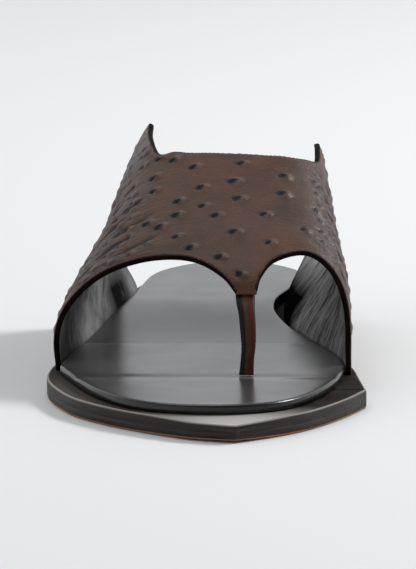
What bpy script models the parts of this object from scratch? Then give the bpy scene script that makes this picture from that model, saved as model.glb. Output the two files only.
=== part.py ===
"""Toe-post sandal for the right foot: a wide leather strap over an angular flat sole.

Distances run back from the tip of the toe (along) and out from the middle of the foot (across),
with the little-toe side negative and the big-toe side positive.
"""

import math

import bmesh
import bpy

# Driving dimensions, in metres
LENGTH = 0.264
BALL_WIDTH = 0.1045
INSTEP_HEIGHT = 0.062
HEEL_HEIGHT = 0.004
OUTSOLE_THICKNESS = 0.0062
INSOLE_THICKNESS = 0.003
WALL = 0.002
LEDGE = 0.002
HEEL_LEDGE = 0.002
TOE_SPRING = 0.0008
OUTSOLE_EDGE_ROUND = 0.0006
INSOLE_EDGE_ROUND = 0.0009
POST_WIDTH = 0.0047
POST_THICKNESS = 0.0026
POST_LEAN = 0.008
TONGUE_LAP = 0.008
SEAT_GAP = 0.0003

# Places along the shoe, as shares of LENGTH
TOE_CORNER = 0.216
TOE_FLAT_FROM = 0.1
ARCH_FROM = 0.46
HEEL_FROM = 0.7
HEEL_BREAST = 0.72
HEEL_CURVE_FROM = 0.88
HEEL_CURVE_LEAD = 0.04

# How much of the girth the arch takes for each metre beside the tuck below it
ARCH_WEIGHT = 0.8

# Fineness of the solids
SOLE_STATIONS = 48
STEPS_BETWEEN_RIBS = 7
STEPS_ACROSS_LEATHER = 14
POST_STEPS = 16
# Share of a step left free at the ends of the outsole and of the footbed
END_STEP = 0.6
HEEL_STEP = 0.2


def table(names, *rows):
    """A table as one tuple of values for each named column."""
    return dict(zip(names.split(), zip(*rows)))


# Sole outline: along as a share of LENGTH, edges as shares of BALL_WIDTH, a row given twice is a corner
OUTSOLE_LATERAL = table(
    "along edge",
    (0.000, 0.075),
    (0.015, -0.031),
    (0.035, -0.110),
    (0.070, -0.219),
    (0.105, -0.310),
    (0.155, -0.409),
    (TOE_CORNER, -0.476),
    (0.295, -0.521),
    (0.350, -0.519),
    (0.400, -0.502),
    (0.455, -0.478),
    (0.510, -0.450),
    (0.570, -0.420),
    (0.620, -0.395),
    (0.670, -0.368),
    (0.740, -0.342),
    (0.800, -0.324),
    (0.880, -0.282),
    (0.925, -0.240),
    (0.965, -0.170),
    (1.000, 0.006),
)
OUTSOLE_MEDIAL = table(
    "along edge",
    (0.000, 0.087),
    (0.015, 0.139),
    (0.035, 0.202),
    (0.070, 0.287),
    (0.105, 0.347),
    (0.155, 0.414),
    (TOE_CORNER, 0.476),
    (TOE_CORNER, 0.476),
    (0.295, 0.453),
    (0.350, 0.437),
    (0.400, 0.410),
    (0.455, 0.366),
    (0.510, 0.314),
    (0.570, 0.272),
    (0.620, 0.253),
    (0.670, 0.250),
    (0.740, 0.258),
    (0.800, 0.276),
    (0.880, 0.294),
    (0.925, 0.254),
    (0.965, 0.184),
    (1.000, 0.006),
)
# Front of the footbed, ahead of the strap, on the same shares
INSOLE_TOE = table(
    "along lateral medial",
    (0.0511, 0.014, 0.014),
    (0.0600, -0.120, 0.140),
    (0.0830, -0.217, 0.228),
    (0.1290, -0.313, 0.307),
    (0.1700, -0.366, 0.348),
    (0.2260, -0.418, 0.383),
)
INSOLE_TOE_ENDS = 0.31
# Slit between the footbed's narrow waist and the strap on the big-toe side, and how far the strap's
# foot is tucked under there, both as shares of BALL_WIDTH
WAIST_SLIT = table(
    "along width tuck",
    (0.500, 0.000, 0.000),
    (0.570, 0.012, 0.006),
    (0.640, 0.026, 0.010),
    (0.700, 0.024, 0.010),
    (0.760, 0.010, 0.004),
    (0.820, 0.000, 0.000),
)
# Last sections: across as shares of BALL_WIDTH, up as shares of INSTEP_HEIGHT above the strap's foot
LAST = table(
    "along lateral lateral_up lateral_full medial medial_up medial_full crown crown_up",
    (0.260, -0.495, 0.10, 2.2, 0.425, 0.12, 2.7, 0.105, 0.450),
    (0.300, -0.503, 0.12, 2.2, 0.428, 0.15, 2.9, 0.092, 0.590),
    (0.340, -0.507, 0.13, 2.2, 0.428, 0.18, 3.0, 0.080, 0.675),
    (0.415, -0.489, 0.13, 2.3, 0.419, 0.26, 3.0, 0.060, 0.780),
    (0.490, -0.450, 0.13, 2.4, 0.397, 0.34, 3.0, 0.045, 0.890),
    (0.565, -0.410, 0.15, 2.40, 0.376, 0.40, 3.1, 0.035, 0.985),
    (0.640, -0.388, 0.18, 2.35, 0.360, 0.44, 3.0, 0.030, 1.090),
    (0.715, -0.369, 0.22, 2.22, 0.345, 0.48, 2.8, 0.028, 1.180),
    (0.860, -0.366, 0.26, 1.93, 0.320, 0.52, 2.3, 0.025, 1.330),
)
# Ribs across the strap's leather, from its front edge to its back edge: girth runs from -1 at the
# lateral foot over 0 at the crown to 1 at the medial foot, along is a share of LENGTH
RIBS = table(
    "front_girth front_along back_girth back_along",
    (-1.00, 0.340, -1.000, 0.790),
    (-0.86, 0.338, -0.840, 0.787),
    (-0.66, 0.338, -0.620, 0.784),
    (-0.50, 0.341, -0.437, 0.782),
    (-0.40, 0.340, -0.413, 0.779),
    (-0.25, 0.333, -0.383, 0.700),
    (-0.135, 0.318, -0.290, 0.606),
    (-0.054, 0.2895, -0.200, 0.588),
    (-0.020, 0.268, -0.115, 0.573),
    (0.021, 0.268, 0.040, 0.564),
    (0.040, 0.2895, 0.130, 0.567),
    (0.10, 0.316, 0.260, 0.580),
    (0.25, 0.340, 0.400, 0.617),
    (0.42, 0.340, 0.458, 0.700),
    (0.56, 0.332, 0.500, 0.780),
    (0.68, 0.324, 0.525, 0.785),
    (0.84, 0.314, 0.780, 0.820),
    (1.00, 0.310, 1.000, 0.850),
)
TONGUE_RIBS = (8, 9)
EAR_RIBS = (3, 4, 14, 15)
# Toe post from the footbed to its lap behind the tongue: width as a share of POST_WIDTH, across as a
# share of BALL_WIDTH beside the tongue's middle
POST = table(
    "up width across",
    (0.00, 1.02, 0.004),
    (0.12, 0.92, 0.007),
    (0.25, 0.98, 0.011),
    (0.35, 1.06, 0.010),
    (0.45, 1.11, 0.008),
    (0.56, 1.14, 0.005),
    (0.68, 1.28, 0.001),
    (0.75, 1.34, 0.000),
    (1.00, 1.34, 0.000),
)
# Bend of the toe post below the tongue, as shares of its lean and of its rise
POST_BEND = table(
    "lean rise",
    (0.00, 0.00),
    (0.12, 0.38),
    (0.50, 0.74),
)
POST_TAPER = 0.4
POST_CORNER = 0.25
LEAN_STEP = 0.05


def smooth(stations, values, at):
    """Smooth curve through the values; a station given twice is a corner."""
    last = len(stations) - 1
    i = max(k for k in range(last) if stations[k] <= at or k == 0)
    if stations[i] == stations[i + 1]:
        i = i - 1 if at <= stations[i] else i + 1
    span = stations[i + 1] - stations[i]
    t = (at - stations[i]) / span
    chord = (values[i + 1] - values[i]) / span

    def slope(k):
        inside = 0 < k < last
        if not inside or stations[k - 1] == stations[k] or stations[k] == stations[k + 1]:
            return chord
        before = (values[k] - values[k - 1]) / (stations[k] - stations[k - 1])
        after = (values[k + 1] - values[k]) / (stations[k + 1] - stations[k])
        weight = (stations[k] - stations[k - 1]) / (stations[k + 1] - stations[k - 1])
        return before * (1 - weight) + after * weight

    start, end = slope(i) * span, slope(i + 1) * span
    rise = values[i + 1] - values[i]
    return values[i] + t * (start + t * (3 * rise - 2 * start - end + t * (start + end - 2 * rise)))


def ease(t):
    """0 to 1 with no slope at either end."""
    t = min(max(t, 0), 1)
    return t * t * (3 - 2 * t)


def heel_end(along):
    """Stretches the last of the length, so that the smooth curve comes out round at the heel."""
    return 1 - math.sqrt(max(1 - along, 0))


def outsole_edge(side, y):
    plan = OUTSOLE_LATERAL if side < 0 else OUTSOLE_MEDIAL
    stations = [heel_end(along) for along in plan["along"]]
    return BALL_WIDTH * smooth(stations, plan["edge"], heel_end(y / LENGTH))


def strap_foot(side, y):
    """Outer face of the strap where it stands on the outsole."""
    return outsole_edge(side, y) - side * (LEDGE + waist("tuck", side, y))


def waist(column, side, y):
    """A column of the slit's table, which counts on the big-toe side alone."""
    along = y / LENGTH
    if side < 0 or not WAIST_SLIT["along"][0] < along < WAIST_SLIT["along"][-1]:
        return 0
    return BALL_WIDTH * smooth(WAIST_SLIT["along"], WAIST_SLIT[column], along)


def heel_roundness(y):
    """1 ahead of the heel's curve and 0 at its end, as the side of an ellipse turns across the foot."""
    past = (y / LENGTH - HEEL_CURVE_FROM) / (1 - HEEL_CURVE_FROM)
    return math.sqrt(max(1 - max(past, 0) ** 2, 0))


def rim(side, y):
    """From the outsole's edge in to the footbed's edge, with the strap between them where it stands."""
    seat = LEDGE + WALL + SEAT_GAP
    strap_end = RIBS["back_along"][0 if side < 0 else -1]
    behind = ease((y / LENGTH - strap_end) / (HEEL_CURVE_FROM + HEEL_CURVE_LEAD - strap_end))
    ledge = (seat + (HEEL_LEDGE - seat) * behind) * heel_roundness(y)
    return ledge + waist("width", side, y) + waist("tuck", side, y)


def insole_edge(side, y):
    """The toe has its own round curve; behind it the footbed fits between the feet of the strap."""
    joint = INSOLE_TOE_ENDS * LENGTH
    if y >= joint:
        level = y + HEEL_LEDGE * ease((y / LENGTH - HEEL_FROM) / (1 - HEEL_FROM - HEEL_LEDGE / LENGTH))
        return outsole_edge(side, level) - side * rim(side, level)
    tip = INSOLE_TOE["along"][0]
    column = INSOLE_TOE["lateral" if side < 0 else "medial"]
    stations = [math.sqrt(along - tip) for along in INSOLE_TOE["along"]]
    stations.append(math.sqrt(INSOLE_TOE_ENDS - tip))
    edge = outsole_edge(side, joint) - side * rim(side, joint)
    return BALL_WIDTH * smooth(stations, column + (edge / BALL_WIDTH,), math.sqrt(max(y / LENGTH - tip, 0)))


def sole_rise(y):
    """Height of the outsole's underside over the floor: toe spring, flat ball, heel."""
    along = y / LENGTH
    if along < TOE_FLAT_FROM:
        return TOE_SPRING * (1 - along / TOE_FLAT_FROM) ** 2
    return HEEL_HEIGHT * ease((along - ARCH_FROM) / (HEEL_FROM - ARCH_FROM))


def outsole_top(y):
    return sole_rise(y) + OUTSOLE_THICKNESS


def footbed(y):
    return outsole_top(y) + SEAT_GAP + INSOLE_THICKNESS


def last_point(girth, y):
    """Point of the strap's outer face: a full arch above the shoulder, a soft tuck down to its foot."""
    along = y / LENGTH

    def at(column):
        return smooth(LAST["along"], LAST[column], along)

    side, name = (-1, "lateral") if girth < 0 else (1, "medial")
    foot_x, foot_z = strap_foot(side, y), outsole_top(y) + SEAT_GAP
    shoulder_x = BALL_WIDTH * at(name)
    shoulder_z = foot_z + INSTEP_HEIGHT * at(name + "_up")
    crown_x = BALL_WIDTH * at("crown")
    crown_z = foot_z + INSTEP_HEIGHT * at("crown_up")
    arch = ARCH_WEIGHT * (abs(shoulder_x - crown_x) + crown_z - shoulder_z)
    split = arch / (arch + shoulder_z - foot_z)
    if abs(girth) <= split:
        turn = abs(girth) / split * math.pi / 2
        power = 2 / at(name + "_full")
        across = crown_x + (shoulder_x - crown_x) * math.sin(turn) ** power
        return across, y, shoulder_z + (crown_z - shoulder_z) * max(math.cos(turn), 0) ** power
    down = min((abs(girth) - split) / (1 - split), 1)
    return shoulder_x + (foot_x - shoulder_x) * ease(down), y, shoulder_z + (foot_z - shoulder_z) * down


def rib_curve(column, corners, t):
    """A column of the ribs at rib number t, with corners at the ribs named."""
    stations = sorted(list(range(len(RIBS[column]))) + list(corners))
    return smooth(stations, [RIBS[column][k] for k in stations], t)


MIDDLE = BALL_WIDTH * (max(OUTSOLE_MEDIAL["edge"]) + min(OUTSOLE_LATERAL["edge"])) / 2


def in_frame(point):
    """From the tip of the toe to the middle of the sole's box, on the floor."""
    x, y, z = point
    return x - MIDDLE, y - LENGTH / 2, z


def material(name, colour, roughness):
    made = bpy.data.materials.new(name)
    made.use_nodes = True
    shader = made.node_tree.nodes["Principled BSDF"]
    shader.inputs["Base Color"].default_value = (*colour, 1)
    shader.inputs["Roughness"].default_value = roughness
    shader.inputs["Metallic"].default_value = 0
    return made


def body(name, points, faces, finish, collection):
    mesh = bpy.data.meshes.new(name)
    mesh.from_pydata([in_frame(point) for point in points], [], faces)
    work = bmesh.new()
    work.from_mesh(mesh)
    bmesh.ops.recalc_face_normals(work, faces=work.faces)
    work.to_mesh(mesh)
    work.free()
    mesh.materials.append(finish)
    made = bpy.data.objects.new(name, mesh)
    collection.objects.link(made)
    return made


def loft(name, rings, finish, collection):
    """Closed body through rings with equal numbers of points."""
    count = len(rings[0])
    faces = [tuple(range(count)), tuple(range(len(rings) * count - count, len(rings) * count))]
    for row in range(len(rings) - 1):
        for k in range(count):
            here, there = row * count, (row + 1) * count
            faces.append((here + k, here + (k + 1) % count, there + (k + 1) % count, there + k))
    return body(name, [point for ring in rings for point in ring], faces, finish, collection)


def plate(name, stations, edge, bottom, top, rounded, finish, collection):
    """Flat layer that follows the sole's rise, with its top rim taken in towards the middle of the foot."""
    narrower = 1 - rounded / (BALL_WIDTH / 2)
    shorter = 1 - rounded / (LENGTH / 2)
    rings = []
    for y in stations:
        left, right = edge(-1, y), edge(1, y)
        inner = LENGTH / 2 + (y - LENGTH / 2) * shorter
        rings.append([
            (left, y, bottom(y)),
            (right, y, bottom(y)),
            (right, y, top(y) - rounded),
            (right * narrower, inner, top(inner)),
            (left * narrower, inner, top(inner)),
            (left, y, top(y) - rounded),
        ])
    return loft(name, rings, finish, collection)


def outsole_stations():
    """Closer together towards the toe and the heel, with one at the corner of the toe."""
    corner = TOE_CORNER * LENGTH
    turns = [math.pi * k / (SOLE_STATIONS + END_STEP) for k in range(SOLE_STATIONS + 1)]
    spread = [LENGTH * (1 - math.cos(turn)) / 2 for turn in turns]
    nearest = min(spread, key=lambda y: abs(y - corner))
    return sorted(set(spread) - {nearest} | {corner})


def build_outsole(finish, collection):
    plate(
        "outsole", outsole_stations(), outsole_edge, sole_rise, outsole_top,
        OUTSOLE_EDGE_ROUND, finish, collection,
    )


def build_heel(finish, collection):
    breast = HEEL_BREAST * LENGTH
    stations = [breast] + [y for y in outsole_stations() if y > breast + SEAT_GAP]
    rings = []
    for y in stations:
        left, right, top = outsole_edge(-1, y), outsole_edge(1, y), HEEL_HEIGHT - SEAT_GAP
        rings.append([(left, y, 0), (right, y, 0), (right, y, top), (left, y, top)])
    loft("heel", rings, finish, collection)


def insole_stations():
    """Closer together towards the round toe and the round heel."""
    front, back = INSOLE_TOE["along"][0] * LENGTH, LENGTH - HEEL_LEDGE
    turns = [math.pi * (k + END_STEP) / (SOLE_STATIONS + HEEL_STEP) for k in range(SOLE_STATIONS)]
    return [front + (back - front) * (1 - math.cos(turn)) / 2 for turn in turns]


def build_insole(finish, collection):
    plate(
        "insole", insole_stations(), insole_edge, lambda y: outsole_top(y) + SEAT_GAP, footbed,
        INSOLE_EDGE_ROUND, finish, collection,
    )


def build_upper(finish, collection):
    ribs = len(RIBS["front_girth"]) - 1
    columns = ribs * STEPS_BETWEEN_RIBS + 1
    points = []
    for i in range(columns):
        t = i / STEPS_BETWEEN_RIBS
        front = rib_curve("front_girth", TONGUE_RIBS, t), rib_curve("front_along", TONGUE_RIBS, t)
        back = rib_curve("back_girth", EAR_RIBS, t), rib_curve("back_along", EAR_RIBS, t)
        for j in range(STEPS_ACROSS_LEATHER + 1):
            v = j / STEPS_ACROSS_LEATHER
            girth = front[0] + (back[0] - front[0]) * v
            along = front[1] + (back[1] - front[1]) * v
            points.append(last_point(min(max(girth, -1), 1), along * LENGTH))
    faces = []
    rows = STEPS_ACROSS_LEATHER + 1
    for i in range(columns - 1):
        for j in range(STEPS_ACROSS_LEATHER):
            corner = i * rows + j
            faces.append((corner, corner + 1, corner + rows + 1, corner + rows))
    made = body("upper", points, faces, finish, collection)
    wall = made.modifiers.new("wall", "SOLIDIFY")
    wall.thickness = WALL
    wall.offset = -1
    wall.use_even_offset = True


def post_path():
    """Front face of the toe post, seen from the side: up from the footbed, then under the tongue."""
    tip_y = RIBS["front_along"][TONGUE_RIBS[0]] * LENGTH
    tip, lap = last_point(0, tip_y), last_point(0, tip_y + TONGUE_LAP)
    slope = math.atan2(lap[2] - tip[2], lap[1] - tip[1])
    under = WALL + SEAT_GAP
    back, down = under * math.sin(slope), under * math.cos(slope)
    foot_y = tip_y - POST_LEAN
    foot_z = footbed(foot_y) + SEAT_GAP
    rise = tip[2] - down - foot_z
    bends = [
        (foot_y + POST_LEAN * lean, foot_z + rise * up) for lean, up in zip(POST_BEND["lean"], POST_BEND["rise"])
    ]
    return bends + [(tip_y + back, tip[2] - down), (lap[1] + back, lap[2] - down)]


def build_toe_post(finish, collection):
    """Strip that rises from the footbed and laps behind the tongue of the strap."""
    path = post_path()
    knots = range(len(path))
    tongue_x = last_point(0, path[-2][0])[0]
    rings = []
    for k in range(POST_STEPS + 1):
        up = k / POST_STEPS
        t = up * knots[-1]
        y, z = (smooth(knots, [point[axis] for point in path], t) for axis in (0, 1))
        ahead, behind = min(t + LEAN_STEP, knots[-1]), max(t - LEAN_STEP, 0)
        run, rise = (
            smooth(knots, [point[axis] for point in path], ahead)
            - smooth(knots, [point[axis] for point in path], behind)
            for axis in (0, 1)
        )
        lean = math.atan2(run, rise) if k else 0
        middle = tongue_x + BALL_WIDTH * smooth(POST["up"], POST["across"], up)
        half = POST_WIDTH * smooth(POST["up"], POST["width"], up) / 2
        thick = POST_THICKNESS * (1 - POST_TAPER * up)
        corner = thick * POST_CORNER
        outline = (
            (corner - half, 0), (half - corner, 0), (half, corner), (half, thick - corner),
            (half - corner, thick), (corner - half, thick), (-half, thick - corner), (-half, corner),
        )
        rings.append([(middle + x, y + d * math.cos(lean), z - d * math.sin(lean)) for x, d in outline])
    loft("toe_post", rings, finish, collection)


def main():
    for old in list(bpy.data.objects):
        bpy.data.objects.remove(old, do_unlink=True)
    sandal = bpy.data.collections.new("leather_sandal")
    bpy.context.scene.collection.children.link(sandal)
    sole_leather = material("sole_leather", (0.045, 0.036, 0.032), 0.45)
    heel_stack = material("heel_stack", (0.035, 0.028, 0.025), 0.5)
    footbed_leather = material("footbed_leather", (0.03, 0.03, 0.032), 0.3)
    quill_leather = material("quill_leather", (0.09, 0.058, 0.045), 0.5)
    post_leather = material("post_leather", (0.07, 0.035, 0.025), 0.5)
    build_outsole(sole_leather, sandal)
    build_heel(heel_stack, sandal)
    build_insole(footbed_leather, sandal)
    build_upper(quill_leather, sandal)
    build_toe_post(post_leather, sandal)


main()
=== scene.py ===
"""Leather toe-post sandal for the right foot, with quill bumps on its strap and a satin footbed.

Distances run back from the tip of the toe (y) and out from the middle of the foot (x), with the
little-toe side negative and the big-toe side positive, and move into the shared frame at the end.
"""

import math

import bpy
import numpy as np
from mathutils import Matrix, Vector


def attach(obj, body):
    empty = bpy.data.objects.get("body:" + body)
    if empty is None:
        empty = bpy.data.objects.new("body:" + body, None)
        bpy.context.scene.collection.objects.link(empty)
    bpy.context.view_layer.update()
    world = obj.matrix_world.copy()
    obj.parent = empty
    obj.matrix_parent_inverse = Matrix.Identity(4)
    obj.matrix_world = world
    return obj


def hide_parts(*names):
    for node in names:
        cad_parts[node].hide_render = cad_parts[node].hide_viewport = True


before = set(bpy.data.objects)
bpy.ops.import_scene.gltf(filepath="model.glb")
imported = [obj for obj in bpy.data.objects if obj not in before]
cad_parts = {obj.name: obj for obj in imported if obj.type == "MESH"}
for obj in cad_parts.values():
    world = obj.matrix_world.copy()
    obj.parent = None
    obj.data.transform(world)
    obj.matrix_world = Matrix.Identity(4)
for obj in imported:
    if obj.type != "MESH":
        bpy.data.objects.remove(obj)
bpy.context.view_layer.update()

# The shoe's own sizes, in metres
LENGTH = 0.264
BALL_WIDTH = 0.1045
INSTEP_HEIGHT = 0.062
HEEL_HEIGHT = 0.004
OUTSOLE_THICKNESS = 0.0062
INSOLE_THICKNESS = 0.003
WALL = 0.002
LEDGE = 0.002
HEEL_LEDGE = 0.002
TOE_SPRING = 0.0008
POST_WIDTH = 0.0047
POST_THICKNESS = 0.0026
POST_LEAN = 0.008
TONGUE_LAP = 0.008
SEAT_GAP = 0.0003
MM = 0.001

# Places along the shoe, as shares of LENGTH
TOE_CORNER = 0.216
TOE_FLAT_FROM = 0.1
ARCH_FROM = 0.46
HEEL_FROM = 0.7
HEEL_BREAST = 0.72
HEEL_CURVE_FROM = 0.88
HEEL_CURVE_LEAD = 0.04
ARCH_WEIGHT = 0.8

# Fineness of the meshes
LEATHER_STEP = 0.00072
LEATHER_ROWS = 130
EDGE_STEPS = 6
SOLE_STATIONS = 260
SOLE_COLUMNS = 40
POST_RINGS = 72
POST_SIDES = 28
CHART_ROWS = 240
CHART_COLUMNS = 900
CHART_CROWDING = 1.5
SHARE_STEPS = 700
RIB_TRIALS = 12
RIB_SPACING = 0.85


def table(names, *rows):
    """A table as one tuple of values for each named column."""
    return dict(zip(names.split(), zip(*rows)))


# Sole outline: along as a share of LENGTH, edges as shares of BALL_WIDTH, a row given twice is a corner
OUTSOLE_LATERAL = table(
    "along edge",
    (0.000, 0.075),
    (0.015, -0.031),
    (0.035, -0.110),
    (0.070, -0.219),
    (0.105, -0.310),
    (0.155, -0.409),
    (TOE_CORNER, -0.476),
    (0.295, -0.521),
    (0.350, -0.519),
    (0.400, -0.502),
    (0.455, -0.478),
    (0.510, -0.450),
    (0.570, -0.420),
    (0.620, -0.395),
    (0.670, -0.368),
    (0.740, -0.342),
    (0.800, -0.324),
    (0.880, -0.282),
    (0.925, -0.240),
    (0.965, -0.170),
    (1.000, 0.006),
)
OUTSOLE_MEDIAL = table(
    "along edge",
    (0.000, 0.087),
    (0.015, 0.139),
    (0.035, 0.202),
    (0.070, 0.287),
    (0.105, 0.347),
    (0.155, 0.414),
    (TOE_CORNER, 0.476),
    (TOE_CORNER, 0.476),
    (0.295, 0.453),
    (0.350, 0.437),
    (0.400, 0.410),
    (0.455, 0.366),
    (0.510, 0.314),
    (0.570, 0.272),
    (0.620, 0.253),
    (0.670, 0.250),
    (0.740, 0.258),
    (0.800, 0.276),
    (0.880, 0.294),
    (0.925, 0.254),
    (0.965, 0.184),
    (1.000, 0.006),
)
# Front of the footbed, ahead of the strap, on the same shares
INSOLE_TOE = table(
    "along lateral medial",
    (0.0511, 0.014, 0.014),
    (0.0600, -0.120, 0.140),
    (0.0830, -0.217, 0.228),
    (0.1290, -0.313, 0.307),
    (0.1700, -0.366, 0.348),
    (0.2260, -0.418, 0.383),
)
INSOLE_TOE_ENDS = 0.31
# Slit between the footbed's narrow waist and the strap on the big-toe side, and how far the strap's
# foot is tucked under there, both as shares of BALL_WIDTH
WAIST_SLIT = table(
    "along width tuck",
    (0.500, 0.000, 0.000),
    (0.570, 0.012, 0.006),
    (0.640, 0.026, 0.010),
    (0.700, 0.024, 0.010),
    (0.760, 0.010, 0.004),
    (0.820, 0.000, 0.000),
)
# Last sections: across as shares of BALL_WIDTH, up as shares of INSTEP_HEIGHT above the strap's foot
LAST = table(
    "along lateral lateral_up lateral_full medial medial_up medial_full crown crown_up",
    (0.260, -0.495, 0.10, 2.2, 0.425, 0.12, 2.7, 0.105, 0.450),
    (0.300, -0.503, 0.12, 2.2, 0.428, 0.15, 2.9, 0.092, 0.590),
    (0.340, -0.507, 0.13, 2.2, 0.428, 0.18, 3.0, 0.080, 0.675),
    (0.415, -0.489, 0.13, 2.3, 0.419, 0.26, 3.0, 0.060, 0.780),
    (0.490, -0.450, 0.13, 2.4, 0.397, 0.34, 3.0, 0.045, 0.890),
    (0.565, -0.410, 0.15, 2.40, 0.376, 0.40, 3.1, 0.035, 0.985),
    (0.640, -0.388, 0.18, 2.35, 0.360, 0.44, 3.0, 0.030, 1.090),
    (0.715, -0.369, 0.22, 2.22, 0.345, 0.48, 2.8, 0.028, 1.180),
    (0.860, -0.366, 0.26, 1.93, 0.320, 0.52, 2.3, 0.025, 1.330),
)
# Ribs across the strap's leather, from its front edge to its back edge: girth runs from -1 at the
# lateral foot over 0 at the crown to 1 at the medial foot, along is a share of LENGTH
RIBS = table(
    "front_girth front_along back_girth back_along",
    (-1.00, 0.340, -1.000, 0.790),
    (-0.86, 0.338, -0.840, 0.787),
    (-0.66, 0.338, -0.620, 0.784),
    (-0.50, 0.341, -0.437, 0.782),
    (-0.40, 0.340, -0.413, 0.779),
    (-0.25, 0.333, -0.383, 0.700),
    (-0.135, 0.318, -0.290, 0.606),
    (-0.054, 0.2895, -0.200, 0.588),
    (-0.020, 0.268, -0.115, 0.573),
    (0.021, 0.268, 0.040, 0.564),
    (0.040, 0.2895, 0.130, 0.567),
    (0.10, 0.316, 0.260, 0.580),
    (0.25, 0.340, 0.400, 0.617),
    (0.42, 0.340, 0.458, 0.700),
    (0.56, 0.332, 0.500, 0.780),
    (0.68, 0.324, 0.525, 0.785),
    (0.84, 0.314, 0.780, 0.820),
    (1.00, 0.310, 1.000, 0.850),
)
TONGUE_RIBS = (8, 9)
EAR_RIBS = (3, 4, 14, 15)
# Toe post from the footbed to its lap behind the tongue: width as a share of POST_WIDTH, across as a
# share of BALL_WIDTH beside the tongue's middle
POST = table(
    "up width across",
    (0.00, 1.02, 0.004),
    (0.12, 0.92, 0.007),
    (0.25, 0.98, 0.011),
    (0.35, 1.06, 0.010),
    (0.45, 1.11, 0.008),
    (0.56, 1.14, 0.005),
    (0.68, 1.28, 0.001),
    (0.75, 1.34, 0.000),
    (1.00, 1.34, 0.000),
)


def smooth(stations, values, at):
    """Smooth curve through the values; a station given twice is a corner."""
    s, v = np.asarray(stations, float), np.asarray(values, float)
    at = np.asarray(at, float)
    spans = np.diff(s)
    chords = np.divide(np.diff(v), spans, out=np.zeros(len(spans)), where=spans > 0)
    begin, end = chords.copy(), chords.copy()
    for k in range(1, len(spans)):
        if spans[k - 1] > 0 and spans[k] > 0:
            weight = spans[k - 1] / (spans[k - 1] + spans[k])
            begin[k] = end[k - 1] = chords[k - 1] * (1 - weight) + chords[k] * weight
    i = np.clip(np.searchsorted(s, at, side="right") - 1, 0, len(spans) - 1)
    i = np.where(spans[i] > 0, i, i - 1)
    t = (at - s[i]) / spans[i]
    a, b, rise = begin[i] * spans[i], end[i] * spans[i], v[i + 1] - v[i]
    return v[i] + t * (a + t * (3 * rise - 2 * a - b + t * (a + b - 2 * rise)))


def ease(t):
    """0 to 1 with no slope at either end."""
    t = np.clip(t, 0, 1)
    return t * t * (3 - 2 * t)


def heel_end(along):
    """Stretches the last of the length, so that the smooth curve comes out round at the heel."""
    return 1 - np.sqrt(np.maximum(1 - np.asarray(along, float), 0))


def outsole_edge(side, y):
    plan = OUTSOLE_LATERAL if side < 0 else OUTSOLE_MEDIAL
    return BALL_WIDTH * smooth(heel_end(plan["along"]), plan["edge"], heel_end(y / LENGTH))


def strap_foot(side, y):
    """Outer face of the strap where it stands on the outsole."""
    return outsole_edge(side, y) - side * (LEDGE + waist("tuck", side, y))


def waist(column, side, y):
    """A column of the slit's table, which counts on the big-toe side alone."""
    along = y / LENGTH
    opens = (along > WAIST_SLIT["along"][0]) & (along < WAIST_SLIT["along"][-1]) & (side > 0)
    return np.where(opens, BALL_WIDTH * smooth(WAIST_SLIT["along"], WAIST_SLIT[column], along), 0)


def heel_roundness(y):
    """1 ahead of the heel's curve and 0 at its end, as the side of an ellipse turns across the foot."""
    past = (y / LENGTH - HEEL_CURVE_FROM) / (1 - HEEL_CURVE_FROM)
    return np.sqrt(np.maximum(1 - np.maximum(past, 0) ** 2, 0))


def rim(side, y):
    """From the outsole's edge in to the footbed's edge, with the strap between them where it stands."""
    seat = LEDGE + WALL + SEAT_GAP
    strap_end = RIBS["back_along"][0 if side < 0 else -1]
    behind = ease((y / LENGTH - strap_end) / (HEEL_CURVE_FROM + HEEL_CURVE_LEAD - strap_end))
    ledge = (seat + (HEEL_LEDGE - seat) * behind) * heel_roundness(y)
    return ledge + waist("width", side, y) + waist("tuck", side, y)


def insole_edge(side, y):
    """The toe has its own round curve; behind it the footbed fits between the feet of the strap."""
    y = np.asarray(y, float)
    joint = INSOLE_TOE_ENDS * LENGTH
    level = y + HEEL_LEDGE * ease((y / LENGTH - HEEL_FROM) / (1 - HEEL_FROM - HEEL_LEDGE / LENGTH))
    behind = outsole_edge(side, level) - side * rim(side, level)
    tip = INSOLE_TOE["along"][0]
    column = INSOLE_TOE["lateral" if side < 0 else "medial"]
    stations = [math.sqrt(along - tip) for along in INSOLE_TOE["along"] + (INSOLE_TOE_ENDS,)]
    edge = (outsole_edge(side, joint) - side * rim(side, joint)) / BALL_WIDTH
    shares = column + (float(edge),)
    toe = BALL_WIDTH * smooth(stations, shares, np.sqrt(np.maximum(y / LENGTH - tip, 0)))
    return np.where(y >= joint, behind, toe)


def sole_rise(y):
    """Height of the outsole's underside over the floor: toe spring, flat ball, heel."""
    along = y / LENGTH
    spring = TOE_SPRING * np.maximum(1 - along / TOE_FLAT_FROM, 0) ** 2
    return spring + HEEL_HEIGHT * ease((along - ARCH_FROM) / (HEEL_FROM - ARCH_FROM))


def outsole_top(y):
    return sole_rise(y) + OUTSOLE_THICKNESS


def insole_bottom(y):
    return outsole_top(y) + SEAT_GAP


def footbed(y):
    return insole_bottom(y) + INSOLE_THICKNESS


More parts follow.
